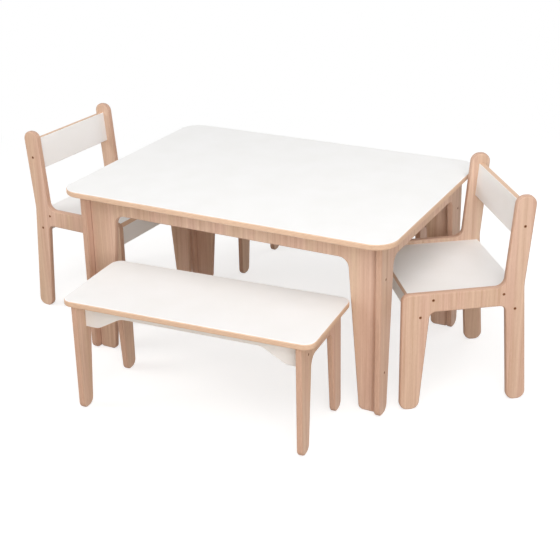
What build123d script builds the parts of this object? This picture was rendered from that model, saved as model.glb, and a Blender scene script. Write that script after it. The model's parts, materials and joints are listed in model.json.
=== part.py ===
from build123d import *
import os
from math import atan2, cos, degrees, radians, sin

# Children's table with two chairs and two benches, flat pack furniture of plywood boards.
# Sizes are in millimetres. +Z is up, +X runs along the table and the front bench stands on the -Y side.

# Boards
BOARD = 15.0  # thickness of every board
WOOD_EDGE_ROUND = 4.0  # rounding along the exposed edges of a wooden board
WHITE_EDGE_ROUND = 2.5  # rounding along the exposed edges of a white board between wooden ones
TOP_EDGE_ROUND = 3.5  # rounding along the edges of the table and bench tops
MOST_OF_WALL = 0.45  # a corner radius takes at most this share of the wall that it is on

# Table
TABLE_LENGTH = 900.0
TABLE_WIDTH = 645.0
TABLE_HEIGHT = 460.0
TABLE_CORNER = 55.0  # corner radius of the table top, seen from above
END_OVERHANG = 35.0  # table top beyond the outer face of an end panel
SIDE_OVERHANG = 41.5  # table top beyond the upright edges of an end panel
PANEL_SET_BACK = 22.0  # face of a long panel behind the edges of the end panels
TABLE_APRON = 58.0  # depth of a panel between its legs
TABLE_FOOT = 48.0  # width of a leg at the floor
TABLE_SHOULDER = 78.0  # width of a leg under the apron
TABLE_ARCH_ROUND = 25.0  # inner corners between leg and apron
TABLE_FOOT_ROUND = 20.0  # corners of the end panels' feet
LONG_FOOT_ROUND = 12.0  # inner corner of the long panels' feet
LONG_END_ROUND = 8.0  # outer corner of the long panels' feet, beside the end panels

# Chair, with depths measured back from the front edge of its sides
CHAIR_WIDTH = 333.0
CHAIR_HEIGHT = 525.0
SEAT_HEIGHT = 291.0
SEAT_LIP = 11.0  # side rail above the seat
SIDE_RAIL = 49.5  # depth of a side between its legs
CHAIR_DEPTH = 314.0  # rear edge of the rear foot
WAIST_DEPTH = 295.5  # rear edge at the top of the side rail
BACK_DEPTH = 315.0  # rear edge at the top of the upright
FRONT_FOOT = 46.5  # width of the front leg at the floor
FRONT_KNEE = 68.5  # width of the front leg under the rail
REAR_LEG = 47.5
UPRIGHT = 49.5
CHAIR_FOOT_ROUND = 20.0
UPRIGHT_ROUND = 23.0  # corners at the top of the upright
FRONT_TOP_ROUND = 18.0  # front corner of the side rail
SEAT_CORNER_ROUND = 22.0  # between side rail and upright
LEG_CORNER_ROUND = 15.0  # between side rail and legs
WAIST_ROUND = 120.0  # soft bend of the rear edge
SEAT_SET_BACK = 21.0  # front edge of the seat
SEAT_REAR_GAP = 8.0  # rear edge of the seat in front of the side's rear edge
APRON_SET_BACK = 37.5  # front face of the apron
FRONT_APRON = 62.0  # height of the board under the front of the seat
REAR_RAIL = 46.0  # height of the board between the rear legs
BACKREST = 87.0  # height of the backrest board
BACKREST_TOP_GAP = 26.0  # upright above the backrest
BACKREST_SET_BACK = 21.0  # face of the backrest behind the upright's front edge

# Bench
BENCH_LENGTH = 636.0
BENCH_WIDTH = 257.0
BENCH_HEIGHT = 288.0
BENCH_CORNER = 28.0
FRAME_INSET = 26.5  # bench top beyond the outer face of an end frame
FRAME_SIDE_INSET = 5.0  # bench top beyond the edges of an end frame
FRAME_RAIL = 48.0  # depth of an end frame between its legs
BENCH_FOOT = 41.0
BENCH_SHOULDER = 61.0
BENCH_FOOT_ROUND = 18.0
BENCH_ARCH_ROUND = 25.0
RAIL_SET_BACK = 34.0  # face of a long rail behind the edges of the frames
RAIL_END = 64.5  # depth of a long rail at its ends
RAIL_MIDDLE = 30.0  # depth of a long rail along its middle
RAIL_BLOCK = 35.0  # length of the deep end
RAIL_SLOPE = 62.0  # run of the slope from the deep end to the middle
RAIL_LOW_BEND = 20.0  # radius of the bend beside the deep end
RAIL_HIGH_BEND = 40.0  # radius of the bend beside the middle

# Side screws with countersunk heads and a hexagon socket, and the dowels beside them
SCREW_HEAD = 7.0
SCREW_SHANK = 4.0
SCREW_LENGTH = 42.0
SCREW_SINK = 0.5  # head below the face of the board
SOCKET_WIDTH = 3.0  # across the corners of the hexagon
SOCKET_DEPTH = 1.2
DOWEL = 6.0
DOWEL_LENGTH = 30.0
DOWEL_IN_SIDE = 10.0  # part of the dowel inside the side board
DOWEL_CHAMFER = 0.8
HOLE_CLEARANCE = 0.15  # gap all round a screw or a dowel
HOLE_SPARE = 1.0  # hole deeper than what it holds
SEAT_SCREW_FRONT = 54.0  # behind the front edge of the seat
SEAT_SCREW_REAR = 43.5  # in front of the rear edge of the seat
APRON_SCREW_UP = 28.0  # above the lower edge of the chair's apron
APRON_DOWEL_UP = 48.0
REAR_SCREW_UP = 14.0  # above the lower edge of the chair's rear rail
REAR_DOWEL_UP = 32.0
BACK_SCREW_DROP = 5.0  # below the middle of the backrest
BACK_DOWEL_RISE = 25.0  # above the middle of the backrest
BENCH_DOWEL_DROP = 16.0  # dowel below the screw of a bench rail
TABLE_SCREW_HIGH = 111.5  # upper corner screw below the table's surface
TABLE_SCREW_LOW = 109.0  # lower corner screw above the floor
TABLE_DOWEL_HIGH = 60.0  # upper corner dowel below the table's surface
TABLE_DOWEL_LOW = 220.0  # lower corner dowel above the floor

# Steel angles that hold the tops down
ANGLE_LEG = 20.0
ANGLE_WIDTH = 16.0
ANGLE_PLATE = 2.0
ANGLE_ROUND = 4.0  # free corners of an angle
ANGLE_HOLE = 4.2
ANGLE_HOLE_IN = 12.0  # hole from the corner of the angle
ANGLE_SCREW = 3.5
ANGLE_SCREW_LENGTH = 11.0
ANGLE_SCREW_HEAD = 7.0
ANGLE_SCREW_HEAD_HEIGHT = 2.2
TABLE_ANGLE_SPREAD = 400.0  # between the two angles on a long table panel
BENCH_ANGLE_SPREAD = 300.0  # between the two angles on a bench rail

# Places on the floor, with turns in degrees
LEFT_CHAIR_TUCK = 15.0  # front edge inside the outer face of the left end panel
LEFT_CHAIR_GAP = 5.6  # between the left chair and the table leg beside it
LEFT_CHAIR_TURN = 178.0
RIGHT_CHAIR_GAP = 3.8  # between the right chair's upright and the end of the table top
RIGHT_CHAIR_ASIDE = -91.5  # front of the right chair from the middle of the table
RIGHT_CHAIR_TURN = 36.6
FRONT_BENCH_TUCK = 1.5  # far corner of the front bench past the face of the table's front panel
FRONT_BENCH_ASIDE = 26.5
FRONT_BENCH_TURN = 4.0
BACK_BENCH_GAP = 20.5  # between the back bench and the edges of the end panels
BACK_BENCH_TURN = 180.0

# Sizes that follow
panel_top = TABLE_HEIGHT - BOARD
end_x = TABLE_LENGTH / 2 - END_OVERHANG
end_y = TABLE_WIDTH / 2 - SIDE_OVERHANG
long_panel_y = end_y - PANEL_SET_BACK - BOARD / 2
rail_top = SEAT_HEIGHT + SEAT_LIP
rail_bottom = rail_top - SIDE_RAIL
seat_under = SEAT_HEIGHT - BOARD
seat_width = CHAIR_WIDTH - 2 * BOARD
back_lean = degrees(atan2(BACK_DEPTH - WAIST_DEPTH, CHAIR_HEIGHT - rail_top))
bench_under = BENCH_HEIGHT - BOARD
frame_length = BENCH_WIDTH - 2 * FRAME_SIDE_INSET
rail_length = BENCH_LENGTH - 2 * (FRAME_INSET + BOARD)
bench_rail_y = frame_length / 2 - RAIL_SET_BACK - BOARD / 2


def limited(radius, wall):
    """A corner radius that leaves some of the wall straight."""
    return min(radius, MOST_OF_WALL * wall)


def rounded_face(corners):
    """A flat face through (x, y, radius) corners. A radius of 0 leaves a corner sharp."""
    face = make_face(Polyline([(x, y) for x, y, _ in corners], close=True))
    for radius in sorted({r for _, _, r in corners if r}):
        places = [(x, y) for x, y, r in corners if r == radius]
        picked = [face.vertices().sort_by_distance((x, y))[0] for x, y in places]
        face = fillet(picked, radius)
    return face


def standing_board(corners, edge_round, sharp_height=None):
    """A board in the XZ plane, centred on Y = 0. Its edges are rounded, but not at the sharp height."""
    board = extrude(Plane.XZ * rounded_face(corners), BOARD / 2, both=True)
    edges = board.faces().filter_by(Axis.Y).edges()
    if sharp_height is not None:
        edges = [e for e in edges if abs(e.bounding_box().min.Z - sharp_height) > 0.01]
    return fillet(edges, edge_round)


def lying_board(length, width, height, corner):
    """A top with rounded corners and edges, its upper face at the given height."""
    board = Pos(0, 0, height - BOARD) * extrude(RectangleRounded(length, width, corner), BOARD)
    return fillet(board.faces().filter_by(Axis.Z).edges(), TOP_EDGE_ROUND)


def cross_board(thick, height):
    """A board across a chair, along Y, with its four long edges rounded."""
    board = Box(thick, seat_width, height)
    return fillet(board.edges().filter_by(Axis.Y), WHITE_EDGE_ROUND)


def arch_corners(length, height, apron, foot, shoulder, arch_round, outer_round, inner_round):
    """The outline of a panel with two tapered legs and an apron between them."""
    outer = limited(outer_round, foot)
    inner = limited(inner_round, foot)
    half = [
        (length / 2, height, 0),
        (length / 2, 0, outer),
        (length / 2 - foot, 0, inner),
        (length / 2 - shoulder, height - apron, limited(arch_round, height - apron)),
    ]
    return half + [(-x, z, r) for x, z, r in reversed(half)]


def side_screw():
    """A countersunk screw along +Z, with the face of the board at Z = 0."""
    cone = (SCREW_HEAD - SCREW_SHANK) / 2
    head = Pos(0, 0, SCREW_SINK + cone / 2) * Cone(SCREW_HEAD / 2, SCREW_SHANK / 2, cone)
    shank_length = SCREW_LENGTH - SCREW_SINK - cone
    shank = Pos(0, 0, SCREW_LENGTH - shank_length / 2) * Cylinder(SCREW_SHANK / 2, shank_length)
    socket = Pos(0, 0, SCREW_SINK) * extrude(RegularPolygon(SOCKET_WIDTH / 2, 6), SOCKET_DEPTH)
    return head + shank - socket


def side_screw_hole():
    """The countersunk hole for a side screw, with the clearance all round."""
    head = SCREW_HEAD / 2 + HOLE_CLEARANCE
    shank = SCREW_SHANK / 2 + HOLE_CLEARANCE
    depth = SCREW_LENGTH + HOLE_SPARE
    mouth = Pos(0, 0, SCREW_SINK / 2) * Cylinder(head, SCREW_SINK)
    cone = Pos(0, 0, SCREW_SINK + (head - shank) / 2) * Cone(head, shank, head - shank)
    return mouth + cone + Pos(0, 0, depth / 2) * Cylinder(shank, depth)


def dowel():
    """A dowel along +Z, with the joint between the two boards at Z = 0."""
    pin = Pos(0, 0, DOWEL_LENGTH / 2 - DOWEL_IN_SIDE) * Cylinder(DOWEL / 2, DOWEL_LENGTH)
    return chamfer(pin.edges().filter_by(GeomType.CIRCLE), DOWEL_CHAMFER)


def dowel_hole():
    """The hole for a dowel in both boards."""
    length = DOWEL_LENGTH + 2 * HOLE_SPARE
    middle = DOWEL_LENGTH / 2 - DOWEL_IN_SIDE
    return Pos(0, 0, middle) * Cylinder(DOWEL / 2 + HOLE_CLEARANCE, length)


def angle():
    """A steel angle. Its corner is at the origin, under a top (+Z) and against an apron (-Y)."""
    upright = Pos(0, ANGLE_PLATE / 2, -ANGLE_LEG / 2) * Box(ANGLE_WIDTH, ANGLE_PLATE, ANGLE_LEG)
    flat = Pos(0, ANGLE_LEG / 2, -ANGLE_PLATE / 2) * Box(ANGLE_WIDTH, ANGLE_LEG, ANGLE_PLATE)
    body = upright + flat
    upright_corners = body.edges().filter_by(Axis.Y).group_by(Axis.Z)[0]
    flat_corners = body.edges().filter_by(Axis.Z).group_by(Axis.Y)[-1]
    body = fillet(upright_corners + flat_corners, limited(ANGLE_ROUND, ANGLE_WIDTH))
    for place in angle_screw_places():
        body -= place * Cylinder(ANGLE_HOLE / 2, 2 * ANGLE_LEG)
    return body


def angle_screw_places():
    """The two screw places of an angle, with +Z of each into the wood and Z = 0 at the wood's face."""
    return [
        Plane((0, 0, -ANGLE_HOLE_IN), x_dir=(1, 0, 0), z_dir=(0, -1, 0)).location,
        Plane((0, ANGLE_HOLE_IN, 0), x_dir=(1, 0, 0), z_dir=(0, 0, 1)).location,
    ]


def angle_screw():
    """A pan head screw along +Z, its head on the plate of an angle."""
    shank_length = ANGLE_SCREW_LENGTH + ANGLE_PLATE
    shank = Pos(0, 0, shank_length / 2 - ANGLE_PLATE) * Cylinder(ANGLE_SCREW / 2, shank_length)
    head_middle = -ANGLE_PLATE - ANGLE_SCREW_HEAD_HEIGHT / 2
    head = Pos(0, 0, head_middle) * Cylinder(ANGLE_SCREW_HEAD / 2, ANGLE_SCREW_HEAD_HEIGHT)
    head = fillet(head.edges().group_by(Axis.Z)[0], ANGLE_SCREW_HEAD_HEIGHT / 2)
    socket = Pos(0, 0, -ANGLE_PLATE - ANGLE_SCREW_HEAD_HEIGHT) * extrude(
        RegularPolygon(SOCKET_WIDTH / 2, 6), SOCKET_DEPTH
    )
    return head + shank - socket


def angle_screw_hole():
    """The hole in the wood for the screw of an angle."""
    depth = ANGLE_SCREW_LENGTH + HOLE_SPARE
    return Pos(0, 0, depth / 2) * Cylinder(ANGLE_SCREW / 2 + HOLE_CLEARANCE, depth)


def drilled(board, places, cutter):
    """The board with the same hole at each place."""
    for place in places:
        board -= place * cutter
    return board


def group(places, piece):
    """Copies of one piece, each a separate solid of the same node."""
    return Compound([place * piece for place in places])


def sideways(x, y, z, toward):
    """A place at a face across X (toward 'x') or Y (toward 'y'), its +Z pointing to the middle."""
    if toward == "x":
        return Plane((x, y, z), x_dir=(0, 1, 0), z_dir=(-1 if x > 0 else 1, 0, 0)).location
    return Plane((x, y, z), x_dir=(1, 0, 0), z_dir=(0, -1 if y > 0 else 1, 0)).location


def table():
    """The table's pieces by name, centred over the origin."""
    arch = (TABLE_APRON, TABLE_FOOT, TABLE_SHOULDER, TABLE_ARCH_ROUND)
    end_outline = arch_corners(2 * end_y, panel_top, *arch, TABLE_FOOT_ROUND, TABLE_FOOT_ROUND)
    end_panel = standing_board(end_outline, WOOD_EDGE_ROUND, panel_top)
    long_outline = arch_corners(2 * (end_x - BOARD), panel_top, *arch, LONG_END_ROUND, LONG_FOOT_ROUND)
    long_panel = standing_board(long_outline, WOOD_EDGE_ROUND, panel_top)
    pieces = {
        "front_panel": Pos(0, -long_panel_y, 0) * long_panel,
        "back_panel": Pos(0, long_panel_y, 0) * long_panel,
        "left_panel": Pos(-end_x + BOARD / 2, 0, 0) * Rot(0, 0, 90) * end_panel,
        "right_panel": Pos(end_x - BOARD / 2, 0, 0) * Rot(0, 0, 90) * end_panel,
        "top": lying_board(TABLE_LENGTH, TABLE_WIDTH, TABLE_HEIGHT, TABLE_CORNER),
    }
    corners = [(x, y) for x in (-1, 1) for y in (-long_panel_y, long_panel_y)]
    screw_heights = (TABLE_HEIGHT - TABLE_SCREW_HIGH, TABLE_SCREW_LOW)
    dowel_heights = (TABLE_HEIGHT - TABLE_DOWEL_HIGH, TABLE_DOWEL_LOW)
    screws = [sideways(side * end_x, y, z, "x") for side, y in corners for z in screw_heights]
    dowels = [sideways(side * (end_x - BOARD), y, z, "x") for side, y in corners for z in dowel_heights]
    inner_y = long_panel_y - BOARD / 2
    spread = TABLE_ANGLE_SPREAD / 2
    angles = [
        Pos(x, -side * inner_y, panel_top) * Rot(0, 0, turn)
        for side, turn in ((1, 0), (-1, 180))
        for x in (-spread, spread)
    ] + [Pos(side * (end_x - BOARD), 0, panel_top) * Rot(0, 0, side * 90) for side in (-1, 1)]
    angle_screws = [place * hole for place in angles for hole in angle_screw_places()]
    for name in pieces:
        board = pieces[name]
        if name != "top":
            board = drilled(board, screws, side_screw_hole())
            board = drilled(board, dowels, dowel_hole())
        pieces[name] = drilled(board, angle_screws, angle_screw_hole())
    pieces["corner_screws"] = group(screws, side_screw())
    pieces["corner_dowels"] = group(dowels, dowel())
    pieces["angles"] = group(angles, angle())
    pieces["angle_screws"] = group(angle_screws, angle_screw())
    return pieces


def rear_edge(z):
    """Depth of the side's rear edge at a height."""
    if z < rail_top:
        return CHAIR_DEPTH + (WAIST_DEPTH - CHAIR_DEPTH) * z / rail_top
    return WAIST_DEPTH + (BACK_DEPTH - WAIST_DEPTH) * (z - rail_top) / (CHAIR_HEIGHT - rail_top)


def chair_side():
    """One side of the chair: front leg, seat rail, rear leg and leaning upright in one board."""
    foot = limited(CHAIR_FOOT_ROUND, min(FRONT_FOOT, REAR_LEG))
    crown = limited(UPRIGHT_ROUND, UPRIGHT)
    outline = [
        (0, 0, foot),
        (0, rail_top, limited(FRONT_TOP_ROUND, SIDE_RAIL)),
        (rear_edge(rail_top) - UPRIGHT, rail_top, SEAT_CORNER_ROUND),
        (BACK_DEPTH - UPRIGHT, CHAIR_HEIGHT, crown),
        (BACK_DEPTH, CHAIR_HEIGHT, crown),
        (WAIST_DEPTH, rail_top, WAIST_ROUND),
        (CHAIR_DEPTH, 0, foot),
        (CHAIR_DEPTH - REAR_LEG, 0, foot),
        (rear_edge(rail_bottom) - REAR_LEG, rail_bottom, LEG_CORNER_ROUND),
        (FRONT_KNEE, rail_bottom, LEG_CORNER_ROUND),
        (FRONT_FOOT, 0, foot),
    ]
    return standing_board(outline, WOOD_EDGE_ROUND)


def chair():
    """A chair's pieces by name. Its front edge is at X = 0 and it faces -X."""
    seat_rear = rear_edge(seat_under) - SEAT_REAR_GAP
    seat_depth = seat_rear - SEAT_SET_BACK
    seat_x = SEAT_SET_BACK + seat_depth / 2
    apron_x = APRON_SET_BACK + BOARD / 2
    rear_rail_z = seat_under - REAR_RAIL / 2
    rear_rail_x = rear_edge(rear_rail_z) - REAR_LEG / 2
    lean = cos(radians(back_lean))
    back_z = CHAIR_HEIGHT - BACKREST_TOP_GAP - BACKREST * lean / 2
    back_x = rear_edge(back_z) - UPRIGHT + (BACKREST_SET_BACK + BOARD / 2) / lean
    back_place = Pos(back_x, 0, back_z) * Rot(0, back_lean, 0)
    side = chair_side()
    pieces = {
        "left_side": Pos(0, -CHAIR_WIDTH / 2 + BOARD / 2, 0) * side,
        "right_side": Pos(0, CHAIR_WIDTH / 2 - BOARD / 2, 0) * side,
        "seat": Pos(seat_x, 0, SEAT_HEIGHT - BOARD / 2) * cross_board(seat_depth, BOARD),
        "front_apron": Pos(apron_x, 0, seat_under - FRONT_APRON / 2) * cross_board(BOARD, FRONT_APRON),
        "rear_rail": Pos(rear_rail_x, 0, rear_rail_z) * cross_board(BOARD, REAR_RAIL),
        "backrest": back_place * cross_board(BOARD, BACKREST),
    }
    back_screw = (back_place * Pos(0, 0, -BACK_SCREW_DROP)).position
    back_dowel = (back_place * Pos(0, 0, BACK_DOWEL_RISE)).position
    apron_low = seat_under - FRONT_APRON
    rail_low = seat_under - REAR_RAIL
    screw_points = [
        (SEAT_SET_BACK + SEAT_SCREW_FRONT, SEAT_HEIGHT - BOARD / 2),
        (seat_rear - SEAT_SCREW_REAR, SEAT_HEIGHT - BOARD / 2),
        (apron_x, apron_low + APRON_SCREW_UP),
        (rear_rail_x, rail_low + REAR_SCREW_UP),
        (back_screw.X, back_screw.Z),
    ]
    dowel_points = [
        (apron_x, apron_low + APRON_DOWEL_UP),
        (rear_rail_x, rail_low + REAR_DOWEL_UP),
        (back_dowel.X, back_dowel.Z),
    ]
    outer = CHAIR_WIDTH / 2
    screws = [sideways(x, y, z, "y") for x, z in screw_points for y in (-outer, outer)]
    dowels = [sideways(x, y, z, "y") for x, z in dowel_points for y in (-outer + BOARD, outer - BOARD)]
    for name in pieces:
        pieces[name] = drilled(pieces[name], screws, side_screw_hole())
        pieces[name] = drilled(pieces[name], dowels, dowel_hole())
    pieces["screws"] = group(screws, side_screw())
    pieces["dowels"] = group(dowels, dowel())
    return pieces


def bench_rail():
    """A long rail, deep at both ends and shallow along the middle."""
    half = [
        (rail_length / 2, bench_under, 0),
        (rail_length / 2, bench_under - RAIL_END, 0),
        (rail_length / 2 - RAIL_BLOCK, bench_under - RAIL_END, RAIL_LOW_BEND),
        (rail_length / 2 - RAIL_BLOCK - RAIL_SLOPE, bench_under - RAIL_MIDDLE, RAIL_HIGH_BEND),
    ]
    outline = half + [(-x, z, r) for x, z, r in reversed(half)]
    return standing_board(outline, WHITE_EDGE_ROUND, bench_under)


def bench():
    """A bench's pieces by name, centred over the origin."""
    frame = standing_board(
        arch_corners(
            frame_length,
            bench_under,
            FRAME_RAIL,
            BENCH_FOOT,
            BENCH_SHOULDER,
            BENCH_ARCH_ROUND,
            BENCH_FOOT_ROUND,
            BENCH_FOOT_ROUND,
        ),
        WOOD_EDGE_ROUND,
        bench_under,
    )
    frame_x = BENCH_LENGTH / 2 - FRAME_INSET
    rail = bench_rail()
    pieces = {
        "left_frame": Pos(-frame_x + BOARD / 2, 0, 0) * Rot(0, 0, 90) * frame,
        "right_frame": Pos(frame_x - BOARD / 2, 0, 0) * Rot(0, 0, 90) * frame,
        "front_rail": Pos(0, -bench_rail_y, 0) * rail,
        "back_rail": Pos(0, bench_rail_y, 0) * rail,
        "top": lying_board(BENCH_LENGTH, BENCH_WIDTH, BENCH_HEIGHT, BENCH_CORNER),
    }
    ends = [(side, y) for side in (-1, 1) for y in (-bench_rail_y, bench_rail_y)]
    screw_z = bench_under - RAIL_END / 2
    screws = [sideways(side * frame_x, y, screw_z, "x") for side, y in ends]
    dowels = [sideways(side * (frame_x - BOARD), y, screw_z - BENCH_DOWEL_DROP, "x") for side, y in ends]
    inner_y = bench_rail_y - BOARD / 2
    spread = BENCH_ANGLE_SPREAD / 2
    angles = [
        Pos(x, -side * inner_y, bench_under) * Rot(0, 0, turn)
        for side, turn in ((1, 0), (-1, 180))
        for x in (-spread, spread)
    ]
    angle_screws = [place * hole for place in angles for hole in angle_screw_places()]
    for name in pieces:
        board = pieces[name]
        if name != "top":
            board = drilled(board, screws, side_screw_hole())
            board = drilled(board, dowels, dowel_hole())
        if "frame" not in name:
            board = drilled(board, angle_screws, angle_screw_hole())
        pieces[name] = board
    pieces["screws"] = group(screws, side_screw())
    pieces["dowels"] = group(dowels, dowel())
    pieces["angles"] = group(angles, angle())
    pieces["angle_screws"] = group(angle_screws, angle_screw())
    return pieces


def left_chair_place():
    """Tucked into the left arch, beside the leg behind it."""
    leg_slope = (TABLE_SHOULDER - TABLE_FOOT) / (panel_top - TABLE_APRON)
    leg_width = TABLE_FOOT + leg_slope * rail_top
    aside = end_y - leg_width - LEFT_CHAIR_GAP - CHAIR_WIDTH / 2
    return Pos(LEFT_CHAIR_TUCK - end_x, aside, 0) * Rot(0, 0, LEFT_CHAIR_TURN)


def right_chair_place():
    """Turned, with its far upright just outside the end of the table top."""
    turn = radians(RIGHT_CHAIR_TURN)
    upright_front = rear_edge(panel_top) - UPRIGHT
    reach = upright_front * cos(turn) - CHAIR_WIDTH / 2 * sin(turn)
    return Pos(TABLE_LENGTH / 2 + RIGHT_CHAIR_GAP - reach, RIGHT_CHAIR_ASIDE, 0) * Rot(0, 0, RIGHT_CHAIR_TURN)


def front_bench_place():
    """Turned a little, with its far right corner between the table's front legs."""
    turn = radians(FRONT_BENCH_TURN)
    corner_x = BENCH_LENGTH / 2 - BENCH_CORNER
    corner_y = BENCH_WIDTH / 2 - BENCH_CORNER
    reach = corner_x * sin(turn) + corner_y * cos(turn) + BENCH_CORNER
    panel_face = long_panel_y + BOARD / 2
    return Pos(FRONT_BENCH_ASIDE, FRONT_BENCH_TUCK - panel_face - reach, 0) * Rot(0, 0, FRONT_BENCH_TURN)


def back_bench_place():
    """Square to the table, just clear of it."""
    return Pos(0, end_y + BACK_BENCH_GAP + BENCH_WIDTH / 2, 0) * Rot(0, 0, BACK_BENCH_TURN)


def furniture():
    """Every node of the set, placed round the table."""
    chair_pieces = chair()
    bench_pieces = bench()
    sets = [
        ("table", Pos(0, 0, 0), table()),
        ("left_chair", left_chair_place(), chair_pieces),
        ("right_chair", right_chair_place(), chair_pieces),
        ("front_bench", front_bench_place(), bench_pieces),
        ("back_bench", back_bench_place(), bench_pieces),
    ]
    return {
        f"{owner}_{name}": place * piece for owner, place, pieces in sets for name, piece in pieces.items()
    }


nodes = furniture()
footprint = Compound(list(nodes.values())).bounding_box()
origin = footprint.center()
os.makedirs("parts", exist_ok=True)
for node, shape in nodes.items():
    export_step(Pos(-origin.X, -origin.Y, 0) * shape, f"parts/{node}.step")
print("box", footprint.size, "table centre", -origin.X, -origin.Y)
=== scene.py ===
import json
import math

import bmesh
import bpy
import numpy as np
from mathutils import Matrix, Vector


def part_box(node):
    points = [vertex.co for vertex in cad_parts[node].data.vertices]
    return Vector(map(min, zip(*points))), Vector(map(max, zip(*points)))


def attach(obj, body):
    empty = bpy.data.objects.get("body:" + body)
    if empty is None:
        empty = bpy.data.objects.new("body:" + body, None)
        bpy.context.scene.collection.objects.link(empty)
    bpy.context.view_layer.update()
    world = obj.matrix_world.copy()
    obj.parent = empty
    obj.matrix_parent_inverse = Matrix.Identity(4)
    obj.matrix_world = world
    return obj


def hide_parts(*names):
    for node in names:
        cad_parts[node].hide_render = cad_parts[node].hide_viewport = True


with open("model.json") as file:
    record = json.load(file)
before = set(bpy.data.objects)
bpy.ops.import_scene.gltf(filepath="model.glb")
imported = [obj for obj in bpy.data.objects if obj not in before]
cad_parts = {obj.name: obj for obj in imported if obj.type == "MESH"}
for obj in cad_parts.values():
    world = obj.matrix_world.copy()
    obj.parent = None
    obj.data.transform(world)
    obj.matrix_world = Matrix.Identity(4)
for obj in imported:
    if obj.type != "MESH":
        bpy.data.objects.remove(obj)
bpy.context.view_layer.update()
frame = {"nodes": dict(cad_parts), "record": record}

# A children's table with two chairs and two benches, cut from plywood boards.
# The boards come from the frame. This script gives them their finishes, makes the side screws,
# and sets the floor, the light and the camera.

MM = 0.001

# Boards
BOARD = 15.0 * MM
PLY_COUNT = 9
PLY = BOARD / PLY_COUNT  # one layer of the plywood
VENEER = 0.5 * MM  # depth to which the beech veneer shows on a rounded edge
LAMINATE = 0.8 * MM  # depth to which the white laminate shows on a rounded edge
EDGE_BLUR = 0.2  # share of that depth, either side of it, over which a face gives way to the edge
LYING = 0.9  # a board lies flat if its face's normal is at least this upright
CUT_STEPS = Vector((7.0, 11.0, 13.0))  # turn a board's place into its own cut of the wood

# Marks on the boards: width across the grain and length along it
BAND = (40.0 * MM, 1500.0 * MM)
RING = (11.0 * MM, 500.0 * MM)
STREAK = (4.0 * MM, 300.0 * MM)
FIBRE = (1.4 * MM, 60.0 * MM)  # real fibres are finer, and are drawn this coarse to show
FLECK = (1.6 * MM, 9.0 * MM)  # real flecks are about 0.5 mm wide, and are drawn this coarse to show
PLY_GRIT = (2.5 * MM, 14.0 * MM)
PEBBLE = (1.4 * MM, 1.4 * MM)  # a real pebble is under 0.5 mm, and is drawn this coarse to show
CLOUD = (90.0 * MM, 90.0 * MM)
MARK_ROUGHNESS = 0.55  # how strongly the finer parts of a mark show
PLY_CONTRAST = 0.22  # how far the layers of plywood differ from each other

# Surfaces of the boards
VENEER_RELIEF = 0.12 * MM
LAMINATE_RELIEF = 0.04 * MM
RELIEF_STRENGTH = 0.3
VENEER_GLOSS = 0.2  # specular level, low because the lacquer is thin and matt
LAMINATE_GLOSS = 0.3
BARE_EDGE_ROUGHNESS = 0.55

# Specks on the small parts, drawn coarser than plating so that they show
ZINC_SPECK = 1.5 * MM
DOWEL_SPECK = 2.0 * MM
BRONZE_SPECK = 0.8 * MM
SPECK_DETAIL = 3.0
SPECK_ROUGHNESS = 0.08  # how far the roughness varies from speck to speck

# Side screws, as in the frame
SCREW_HEAD = 7.0 * MM
SCREW_SHANK = 4.0 * MM
SCREW_LENGTH = 41.5 * MM  # from the face of the head to the tip
SCREW_POINT = 4.0 * MM
SCREW_TIP = 0.2  # width of the tip as a share of the shank
SCREW_SIDES = 24
SOCKET_SIDES = 6
SOCKET_WIDTH = 3.0 * MM  # across the corners of the hexagon
SOCKET_DEPTH = 1.2 * MM
SAME_PLACE = 0.001 * MM  # vertices this near are one
SAME_RING = 0.05 * MM  # vertices this near along a screw are on one ring

# Floor and surround: the floor shows its shadows round the furniture and fades to white further out
NEAR_FLOOR = 1.0  # metres from the origin at which the fade starts
FAR_FLOOR = 2.2  # and ends
FLOOR_HALF = 12.0
FLOOR_GLOW = 0.68  # lifts the floor that is seen to white where no shadow falls
SURROUND = 0.28  # light from all round

# Camera, fitted to straight edges in the photograph: place from the middle of the table on the floor
PHOTO_SIZE = 560.0
FOCAL_PIXELS = 1116.9
AXIS_PIXEL_Y = 200.0  # where the camera's axis meets the picture, counted down from its top
CAMERA_FROM_TABLE = Vector((1275.7, -2415.2, 1407.9)) * MM
CAMERA_YAW = 0.481  # radians, turned left from +Y
CAMERA_PITCH = 0.356  # radians, looking down
CAMERA_ROLL = 0.018
SENSOR = 36.0  # width in millimetres

# The sockets of a Mix node, for numbers and for colours
NUMBER_A = 2
NUMBER_B = 3
COLOUR_A = 6
COLOUR_B = 7
COLOUR_RESULT = 2

slot_of = {part["node"]: part["material_slot"] for part in frame["record"]["subparts"]}


def colour(text):
    """A colour written as an sRGB hex value, in linear light."""
    parts = [int(text[i : i + 2], 16) / 255 for i in (1, 3, 5)]
    return [c / 12.92 if c <= 0.04045 else ((c + 0.055) / 1.055) ** 2.4 for c in parts] + [1.0]


WHITE = colour("#FFFFFF")


def add(tree, kind, links=(), stops=(), **settings):
    """Adds a node. A link is an input's name or number with a value or an output. Stops fill a ramp."""
    node = tree.nodes.new(kind)
    for name, value in settings.items():
        setattr(node, name, value)
    for name, value in dict(links).items():
        if isinstance(value, bpy.types.NodeSocket):
            tree.links.new(value, node.inputs[name])
        else:
            node.inputs[name].default_value = value
    for number, (position, text) in enumerate(stops):
        if number > 1:
            node.color_ramp.elements.new(position)
        node.color_ramp.elements[number].position = position
        node.color_ramp.elements[number].color = colour(text)
    return node


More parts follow.
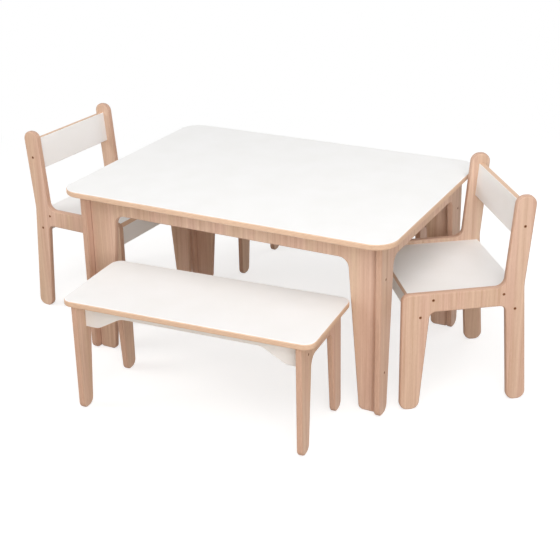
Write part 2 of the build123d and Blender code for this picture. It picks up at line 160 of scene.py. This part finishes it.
def new_group(name, kind, inputs, outputs):
    """An empty node group with named sockets, and its two end nodes."""
    group = bpy.data.node_groups.new(name, kind)
    for label, socket in inputs:
        group.interface.new_socket(label, in_out="INPUT", socket_type=socket)
    for label, socket in outputs:
        group.interface.new_socket(label, in_out="OUTPUT", socket_type=socket)
    return group, add(group, "NodeGroupInput").outputs, add(group, "NodeGroupOutput").inputs


def new_finish(name):
    """An empty group for a board's finish: the place on the board in, what the surface is like out."""
    number = "NodeSocketFloat"
    inputs = [("Board", "NodeSocketVector"), ("Cut", number)]
    outputs = [("Color", "NodeSocketColor"), ("Roughness", number), ("Height", number)]
    return new_group(name, "ShaderNodeTree", inputs, outputs)


def grain(tree, board, cut, mark, detail):
    """A cloudy pattern drawn out along the board's grain, with marks of a real width and length."""
    width, length = mark
    size = (1 / width, 1 / width, 1 / length)
    place = add(tree, "ShaderNodeVectorMath", {0: board, 1: size}, operation="MULTIPLY").outputs[0]
    links = {"Vector": place, "W": cut, "Scale": 1.0, "Detail": detail, "Roughness": MARK_ROUGHNESS}
    return add(tree, "ShaderNodeTexNoise", links, noise_dimensions="4D").outputs["Fac"]


def face_mask(tree, board, skin):
    """The depth through a board, and 1 on its two flat faces but 0 on its edges."""
    depth = add(tree, "ShaderNodeSeparateXYZ", {0: board}).outputs["Y"]
    away = add(tree, "ShaderNodeMath", {0: depth}, operation="ABSOLUTE").outputs[0]
    edge = BOARD / 2 - (1 + EDGE_BLUR) * skin
    face = BOARD / 2 - (1 - EDGE_BLUR) * skin
    links = {"Value": away, "From Min": edge, "From Max": face}
    return depth, add(tree, "ShaderNodeMapRange", links).outputs["Result"]


def plies(tree, board, depth, cut, light, dark):
    """The edge of plywood: layers cut along and across their grain by turns."""
    turn = add(tree, "ShaderNodeMath", {0: depth, 1: math.pi / PLY}, operation="MULTIPLY").outputs[0]
    wave = add(tree, "ShaderNodeMath", {0: turn}, operation="COSINE").outputs[0]
    grit = grain(tree, board, cut, PLY_GRIT, 3.0)
    links = {0: wave, 1: PLY_CONTRAST, 2: grit}
    layer = add(tree, "ShaderNodeMath", links, operation="MULTIPLY_ADD").outputs[0]
    return add(tree, "ShaderNodeValToRGB", {"Fac": layer}, [(0.25, light), (0.75, dark)]).outputs["Color"]


def beech_finish():
    """Sliced beech veneer, lacquered: pink and straw bands, soft rings, straight streaks, short flecks."""
    tree, given, result = new_finish("lacquered_beech_veneer_on_plywood")
    board, cut = given["Board"], given["Cut"]
    depth, face = face_mask(tree, board, VENEER)
    band = grain(tree, board, cut, BAND, 1.0)
    ring = grain(tree, board, cut, RING, 1.0)
    streak = grain(tree, board, cut, STREAK, 3.0)
    fibre = grain(tree, board, cut, FIBRE, 2.0)
    fleck = grain(tree, board, cut, FLECK, 1.0)
    figure = 0.0
    for pattern, share in ((ring, 0.35), (streak, 0.35), (fibre, 0.18), (fleck, 0.12)):
        links = {0: pattern, 1: share, 2: figure}
        figure = add(tree, "ShaderNodeMath", links, operation="MULTIPLY_ADD").outputs[0]
    pink = add(tree, "ShaderNodeValToRGB", {"Fac": figure}, [(0.3, "#C39982"), (0.6, "#E1C1AE")])
    straw = add(tree, "ShaderNodeValToRGB", {"Fac": figure}, [(0.3, "#C19B81"), (0.6, "#DFC3AB")])
    mixing = add(tree, "ShaderNodeMapRange", {"Value": band, "From Min": 0.35, "From Max": 0.65})
    links = {0: mixing.outputs["Result"], COLOUR_A: straw.outputs["Color"], COLOUR_B: pink.outputs["Color"]}
    veneer = add(tree, "ShaderNodeMix", links, data_type="RGBA").outputs[COLOUR_RESULT]
    edge = plies(tree, board, depth, cut, "#D2AF99", "#C5A08B")
    links = {0: face, COLOUR_A: edge, COLOUR_B: veneer}
    surface = add(tree, "ShaderNodeMix", links, data_type="RGBA").outputs[COLOUR_RESULT]
    rough = add(tree, "ShaderNodeMapRange", {"Value": streak, "To Min": 0.52, "To Max": 0.42})
    tree.links.new(surface, result["Color"])
    tree.links.new(rough.outputs["Result"], result["Roughness"])
    tree.links.new(fibre, result["Height"])
    return tree


def laminate_finish():
    """Pressed white laminate over bare plywood: satin and faintly pebbled, with cream edges."""
    tree, given, result = new_finish("pressed_white_laminate_on_plywood")
    board, cut = given["Board"], given["Cut"]
    depth, face = face_mask(tree, board, LAMINATE)
    pebble = grain(tree, board, cut, PEBBLE, 2.0)
    cloud = grain(tree, board, cut, CLOUD, 2.0)
    white = add(tree, "ShaderNodeValToRGB", {"Fac": cloud}, [(0.3, "#F3F2F0"), (0.7, "#F6F5F4")])
    edge = plies(tree, board, depth, cut, "#E4C6AC", "#D6B297")
    links = {0: face, COLOUR_A: edge, COLOUR_B: white.outputs["Color"]}
    surface = add(tree, "ShaderNodeMix", links, data_type="RGBA").outputs[COLOUR_RESULT]
    satin = add(tree, "ShaderNodeMapRange", {"Value": cloud, "To Min": 0.36, "To Max": 0.44})
    links = {0: face, NUMBER_A: BARE_EDGE_ROUGHNESS, NUMBER_B: satin.outputs["Result"]}
    rough = add(tree, "ShaderNodeMix", links)
    tree.links.new(surface, result["Color"])
    tree.links.new(rough.outputs[0], result["Roughness"])
    tree.links.new(pebble, result["Height"])
    return tree


def board_axes(node):
    """The middle of a board and its own axes as a turn: Y through its thickness, Z along its grain."""
    mesh = frame["nodes"][node].data
    face = max(mesh.polygons, key=lambda polygon: polygon.area)
    through = face.normal.normalized()
    lying = abs(through.z) > LYING
    along = Vector((1, 0, 0)) if lying else Vector((0, 0, 1))
    along = (along - through * along.dot(through)).normalized()
    across = through.cross(along)
    low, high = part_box(node)
    return (low + high) / 2, Matrix((across, through, along)).transposed().to_euler()


def board_material(node, finish, relief, gloss):
    """One board's finish, its pattern centred on the board and turned with it."""
    material = bpy.data.materials.new(f"{finish.name}_{node}")
    material.use_nodes = True
    tree = material.node_tree
    shader = tree.nodes["Principled BSDF"]
    middle, turn = board_axes(node)
    cut = middle.dot(CUT_STEPS)
    coordinates = add(tree, "ShaderNodeTexCoord").outputs["Object"]
    links = {"Vector": coordinates, "Location": middle, "Rotation": turn}
    own = add(tree, "ShaderNodeMapping", links, vector_type="TEXTURE").outputs["Vector"]
    surface = add(tree, "ShaderNodeGroup", {"Board": own, "Cut": cut}, node_tree=finish).outputs
    links = {"Height": surface["Height"], "Strength": RELIEF_STRENGTH, "Distance": relief}
    bump = add(tree, "ShaderNodeBump", links)
    tree.links.new(surface["Color"], shader.inputs["Base Color"])
    tree.links.new(surface["Roughness"], shader.inputs["Roughness"])
    tree.links.new(bump.outputs["Normal"], shader.inputs["Normal"])
    shader.inputs["Specular IOR Level"].default_value = gloss
    return material


def speckled_material(name, dark, light, speck, roughness, metallic):
    """A small part's finish: two close tones in specks, and a roughness that varies with them."""
    material = bpy.data.materials.new(name)
    material.use_nodes = True
    tree = material.node_tree
    shader = tree.nodes["Principled BSDF"]
    coordinates = add(tree, "ShaderNodeTexCoord").outputs["Object"]
    links = {"Vector": coordinates, "Scale": 1 / speck, "Detail": SPECK_DETAIL}
    specks = add(tree, "ShaderNodeTexNoise", links).outputs["Fac"]
    tone = add(tree, "ShaderNodeValToRGB", {"Fac": specks}, [(0.35, dark), (0.65, light)])
    limits = {"To Min": roughness - SPECK_ROUGHNESS, "To Max": roughness + SPECK_ROUGHNESS}
    rough = add(tree, "ShaderNodeMapRange", {"Value": specks, **limits})
    tree.links.new(tone.outputs["Color"], shader.inputs["Base Color"])
    tree.links.new(rough.outputs["Result"], shader.inputs["Roughness"])
    shader.inputs["Metallic"].default_value = metallic
    return material


def dress(node, material):
    """Gives a node of the frame its finish."""
    slots = frame["nodes"][node].data.materials
    slots.clear()
    slots.append(material)


def finish_boards():
    """Finishes every board and every hidden small part of the frame by its material slot."""
    beech = beech_finish()
    laminate = laminate_finish()
    # Zinc plated pressed steel: a pale, slightly blue grey with a soft sparkle
    zinc = speckled_material(
        "zinc_plated_pressed_steel", "#A9ADB0", "#C9CCCE", ZINC_SPECK, roughness=0.38, metallic=1.0
    )
    # Turned beech, bare: a dull pale tan
    dowel = speckled_material(
        "turned_beech", "#CFA585", "#DDB897", DOWEL_SPECK, roughness=0.65, metallic=0.0
    )
    for node, slot in slot_of.items():
        if slot == "beech_veneer_plywood":
            dress(node, board_material(node, beech, VENEER_RELIEF, VENEER_GLOSS))
        elif slot == "white_laminate_plywood":
            dress(node, board_material(node, laminate, LAMINATE_RELIEF, LAMINATE_GLOSS))
        elif slot == "beech_dowel":
            dress(node, dowel)
        elif slot == "zinc_plated_steel":
            dress(node, zinc)


def screw_tree(steel, painted_socket_shade):
    """A countersunk screw at every place, with a hexagon socket in its head and its point in the wood."""
    sizes = ["Head Radius", "Shank Radius", "Cone", "Shank", "Point", "Socket Radius", "Socket Depth"]
    inputs = [("Places", "NodeSocketGeometry")] + [(label, "NodeSocketFloat") for label in sizes]
    outputs = [("Screws", "NodeSocketGeometry")]
    tree, given, result = new_group("countersunk_screws", "GeometryNodeTree", inputs, outputs)
    links = {
        "Vertices": SCREW_SIDES,
        "Radius Bottom": given["Head Radius"],
        "Radius Top": given["Shank Radius"],
        "Depth": given["Cone"],
    }
    cone = add(tree, "GeometryNodeMeshCone", links).outputs
    links = {"Mesh": cone["Mesh"], "Selection": cone["Top"], "Offset Scale": given["Shank"]}
    shank = add(tree, "GeometryNodeExtrudeMesh", links, mode="FACES").outputs
    links = {"Mesh": shank["Mesh"], "Selection": shank["Top"], "Offset Scale": given["Point"]}
    point = add(tree, "GeometryNodeExtrudeMesh", links, mode="FACES").outputs
    links = {"Geometry": point["Mesh"], "Selection": point["Top"], "Scale": SCREW_TIP}
    blank = add(tree, "GeometryNodeScaleElements", links, domain="FACE").outputs["Geometry"]
    # The key that cuts the socket is centred on the face of the head, so half of it stands outside
    both_ways = add(tree, "ShaderNodeMath", {0: given["Socket Depth"], 1: 2.0}, operation="MULTIPLY")
    links = {"Vertices": SOCKET_SIDES, "Radius": given["Socket Radius"], "Depth": both_ways.outputs[0]}
    key = add(tree, "GeometryNodeMeshCylinder", links).outputs["Mesh"]
    settings = {"operation": "DIFFERENCE", "solver": "EXACT"}
    links = {"Mesh 1": blank, "Mesh 2": key}
    screw = add(tree, "GeometryNodeMeshBoolean", links, **settings).outputs["Mesh"]
    # The walls and the floor of the socket lie below the face of the head and near its middle. They get the
    # darker steel, which is painted shade in the recess
    position = add(tree, "GeometryNodeInputPosition").outputs[0]
    depth = add(tree, "ShaderNodeSeparateXYZ", {0: position}).outputs["Z"]
    reach = add(tree, "ShaderNodeVectorMath", {0: position}, operation="LENGTH").outputs["Value"]
    links = {0: depth, 1: SAME_RING}
    below = add(tree, "FunctionNodeCompare", links, operation="GREATER_THAN").outputs[0]
    links = {0: reach, 1: given["Shank Radius"]}
    near = add(tree, "FunctionNodeCompare", links, operation="LESS_THAN").outputs[0]
    inside = add(tree, "FunctionNodeBooleanMath", {0: below, 1: near}, operation="AND").outputs[0]
    settings = {"data_type": "BOOLEAN", "domain": "FACE"}
    links = {"Geometry": screw, "Name": "socket", "Value": inside}
    marked = add(tree, "GeometryNodeStoreNamedAttribute", links, **settings).outputs[0]
    links = {"Name": "into_board"}
    way = add(tree, "GeometryNodeInputNamedAttribute", links, data_type="FLOAT_VECTOR").outputs[0]
    turn = add(tree, "FunctionNodeAlignRotationToVector", {"Vector": way}, axis="Z").outputs[0]
    links = {"Points": given["Places"], "Instance": marked, "Rotation": turn}
    screws = add(tree, "GeometryNodeInstanceOnPoints", links).outputs[0]
    real = add(tree, "GeometryNodeRealizeInstances", {"Geometry": screws}).outputs[0]
    plated = add(tree, "GeometryNodeSetMaterial", {"Geometry": real, "Material": steel}).outputs[0]
    links = {"Name": "socket"}
    socket = add(tree, "GeometryNodeInputNamedAttribute", links, data_type="BOOLEAN").outputs[0]
    # The socket's faces take the darker steel: painted shade in the recess
    links = {"Geometry": plated, "Selection": socket, "Material": painted_socket_shade}
    tree.links.new(add(tree, "GeometryNodeSetMaterial", links).outputs[0], result["Screws"])
    return tree


def screw_ends(node):
    """The middle of each screw's head in a node of the frame, and the way that the screw points."""
    shape = bmesh.new()
    shape.from_mesh(frame["nodes"][node].data)
    bmesh.ops.remove_doubles(shape, verts=shape.verts, dist=SAME_PLACE)
    seen = set()
    ends = []
    for start in shape.verts:
        if start in seen:
            continue
        seen.add(start)
        screw = [start]
        for vertex in screw:
            fresh = [v for v in (edge.other_vert(vertex) for edge in vertex.link_edges) if v not in seen]
            seen.update(fresh)
            screw.extend(fresh)
        ends.append(head_and_way(np.array([vertex.co for vertex in screw])))
    shape.free()
    return ends


def head_and_way(points):
    """The middle of one screw's head and the way that it points, from the screw's vertices."""
    from_middle = points - points.mean(axis=0)
    axis = np.linalg.svd(from_middle)[2][0]
    along = from_middle @ axis
    from_axis = np.linalg.norm(from_middle - np.outer(along, axis), axis=1)
    if along[from_axis.argmax()] > 0:
        along = -along
    head = points[along < along.min() + SAME_RING].mean(axis=0)
    tip = points[along > along.max() - SAME_RING].mean(axis=0)
    return head, (tip - head) / np.linalg.norm(tip - head)


def make_screws(tree, body, node):
    """The side screws of one piece of furniture, as one plain mesh."""
    ends = screw_ends(node)
    mesh = bpy.data.meshes.new(f"{body}_side_screws")
    mesh.from_pydata([head for head, _ in ends], [], [])
    ways = mesh.attributes.new("into_board", "FLOAT_VECTOR", "POINT")
    ways.data.foreach_set("vector", np.array([way for _, way in ends], np.float32).ravel())
    piece = bpy.data.objects.new(f"{body}_side_screws", mesh)
    bpy.context.scene.collection.objects.link(piece)
    cone = (SCREW_HEAD - SCREW_SHANK) / 2
    sizes = {
        "Head Radius": SCREW_HEAD / 2,
        "Shank Radius": SCREW_SHANK / 2,
        "Cone": cone,
        "Shank": SCREW_LENGTH - cone - SCREW_POINT,
        "Point": SCREW_POINT,
        "Socket Radius": SOCKET_WIDTH / 2,
        "Socket Depth": SOCKET_DEPTH,
    }
    modifier = piece.modifiers.new("screws", "NODES")
    modifier.node_group = tree
    for label, size in sizes.items():
        modifier[tree.interface.items_tree[label].identifier] = size
    graph = bpy.context.evaluated_depsgraph_get()
    made = bpy.data.meshes.new_from_object(piece.evaluated_get(graph), depsgraph=graph)
    piece.modifiers.clear()
    piece.data = made
    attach(piece, body)
    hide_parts(node)


def make_all_screws():
    """The side screws of every piece of furniture."""
    # Bronzed steel: mid brown heads that read as small dots on the wood. The darker steel in their sockets
    # is painted shade, standing in for the shade in the recess
    steel = speckled_material(
        "bronzed_screw_steel", "#8A5A3E", "#A06C4C", BRONZE_SPECK, roughness=0.5, metallic=0.7
    )
    # A darker copy of the steel for the sockets: painted shade in the recess, not a colour that the screw
    # has
    painted_socket_shade = speckled_material(
        "bronzed_steel_socket_painted_shade", "#4A2E20", "#5C3B2A", BRONZE_SPECK, roughness=0.6, metallic=0.7
    )
    tree = screw_tree(steel, painted_socket_shade)
    for body, members in frame["record"]["behaviour"]["bodies"].items():
        for node in members:
            if slot_of[node] == "bronzed_screw_steel":
                make_screws(tree, body, node)


def in_view(tree):
    """1 for what is seen, straight or in a reflection or through glass, and 0 for light thrown back."""
    path = add(tree, "ShaderNodeLightPath").outputs
    links = {0: path["Is Camera Ray"], 1: path["Is Glossy Ray"]}
    seen = add(tree, "ShaderNodeMath", links, operation="MAXIMUM").outputs[0]
    links = {0: seen, 1: path["Is Transmission Ray"]}
    return add(tree, "ShaderNodeMath", links, operation="MAXIMUM").outputs[0]


def floor_material():
    """Painted studio floor: white to the eye, with soft shadows. It throws light back as a warm mid grey."""
    material = bpy.data.materials.new("painted_studio_floor")
    material.use_nodes = True
    tree = material.node_tree
    tree.nodes.clear()
    place = add(tree, "ShaderNodeTexCoord").outputs["Object"]
    distance = add(tree, "ShaderNodeVectorMath", {0: place}, operation="LENGTH").outputs["Value"]
    links = {"Value": distance, "From Min": NEAR_FLOOR, "From Max": FAR_FLOOR}
    fade = add(tree, "ShaderNodeMapRange", links, interpolation_type="SMOOTHSTEP")
    bounce = add(tree, "ShaderNodeBsdfDiffuse", {"Color": colour("#B5A390")})
    shadowed = add(tree, "ShaderNodeBsdfDiffuse", {"Color": colour("#B9B8B7")})
    glow = add(tree, "ShaderNodeEmission", {"Color": WHITE, "Strength": FLOOR_GLOW})
    near = add(tree, "ShaderNodeAddShader", {0: shadowed.outputs[0], 1: glow.outputs[0]})
    far = add(tree, "ShaderNodeEmission", {"Color": WHITE, "Strength": 1.0})
    shown = add(tree, "ShaderNodeMixShader", {0: fade.outputs[0], 1: near.outputs[0], 2: far.outputs[0]})
    both = add(tree, "ShaderNodeMixShader", {0: in_view(tree), 1: bounce.outputs[0], 2: shown.outputs[0]})
    add(tree, "ShaderNodeOutputMaterial", {"Surface": both.outputs[0]})
    return material


def make_floor():
    """A large floor under the feet."""
    mesh = bpy.data.meshes.new("studio_floor")
    corners = [(x * FLOOR_HALF, y * FLOOR_HALF, 0) for x, y in ((-1, -1), (1, -1), (1, 1), (-1, 1))]
    mesh.from_pydata(corners, [], [(0, 1, 2, 3)])
    mesh.materials.append(floor_material())
    floor = bpy.data.objects.new("studio_floor", mesh)
    bpy.context.scene.collection.objects.link(floor)


def make_world():
    """Even studio surround, plain white where it is seen."""
    world = bpy.data.worlds.new("studio_surround")
    bpy.context.scene.world = world
    world.use_nodes = True
    tree = world.node_tree
    tree.nodes.clear()
    light = add(tree, "ShaderNodeBackground", {"Color": WHITE, "Strength": SURROUND})
    white = add(tree, "ShaderNodeBackground", {"Color": WHITE, "Strength": 1.0})
    both = add(tree, "ShaderNodeMixShader", {0: in_view(tree), 1: light.outputs[0], 2: white.outputs[0]})
    add(tree, "ShaderNodeOutputWorld", {"Surface": both.outputs[0]})


def soft_light(name, place, aim, size, power):
    """A square softbox aimed at a point, in metres and watts."""
    lamp = bpy.data.lights.new(name, "AREA")
    lamp.shape = "SQUARE"
    lamp.size = size
    lamp.energy = power
    box = bpy.data.objects.new(name, lamp)
    box.location = place
    box.visible_glossy = False  # no glare on a white top that is seen against the lamp
    box.rotation_euler = (Vector(aim) - Vector(place)).to_track_quat("-Z", "Y").to_euler()
    bpy.context.scene.collection.objects.link(box)


def make_lights():
    """Softboxes overhead, high in front, low on the right and on the left, and a weak one behind."""
    make_world()
    soft_light("overhead_softbox", place=(1.2, -0.5, 3.0), aim=(0.4, -0.15, 0.3), size=2.2, power=31.0)
    soft_light("front_softbox", place=(0.9, -2.6, 3.0), aim=(0.0, -0.1, 0.3), size=2.0, power=38.0)
    soft_light("right_softbox", place=(2.45, -3.1, 1.3), aim=(0.0, 0.0, 0.3), size=2.2, power=63.0)
    soft_light("left_softbox", place=(-2.9, -1.6, 2.0), aim=(0.0, 0.0, 0.3), size=2.0, power=50.0)
    soft_light("back_softbox", place=(1.5, 3.3, 1.2), aim=(0.0, 0.0, 0.25), size=2.2, power=30.0)


def make_camera():
    """The photograph's viewpoint."""
    low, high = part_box("table_top")
    table = (low + high) / 2
    yaw, pitch, roll = CAMERA_YAW, CAMERA_PITCH, CAMERA_ROLL
    ahead = Vector((-math.sin(yaw) * math.cos(pitch), math.cos(yaw) * math.cos(pitch), -math.sin(pitch)))
    level = Vector((math.cos(yaw), math.sin(yaw), 0))
    down = ahead.cross(level)
    right = math.cos(roll) * level + math.sin(roll) * down
    lower = -math.sin(roll) * level + math.cos(roll) * down
    camera = bpy.data.cameras.new("camera")
    camera.sensor_width = SENSOR
    camera.lens = FOCAL_PIXELS / PHOTO_SIZE * SENSOR
    camera.shift_y = (AXIS_PIXEL_Y - PHOTO_SIZE / 2) / PHOTO_SIZE
    viewer = bpy.data.objects.new("camera", camera)
    turn = Matrix((right, -lower, -ahead)).transposed().to_4x4()
    place = CAMERA_FROM_TABLE + Vector((table.x, table.y, 0))
    viewer.matrix_world = Matrix.Translation(place) @ turn
    bpy.context.scene.collection.objects.link(viewer)
    bpy.context.scene.camera = viewer


finish_boards()
make_all_screws()
make_floor()
make_lights()
make_camera()
bpy.context.scene.view_settings.view_transform = "Standard"
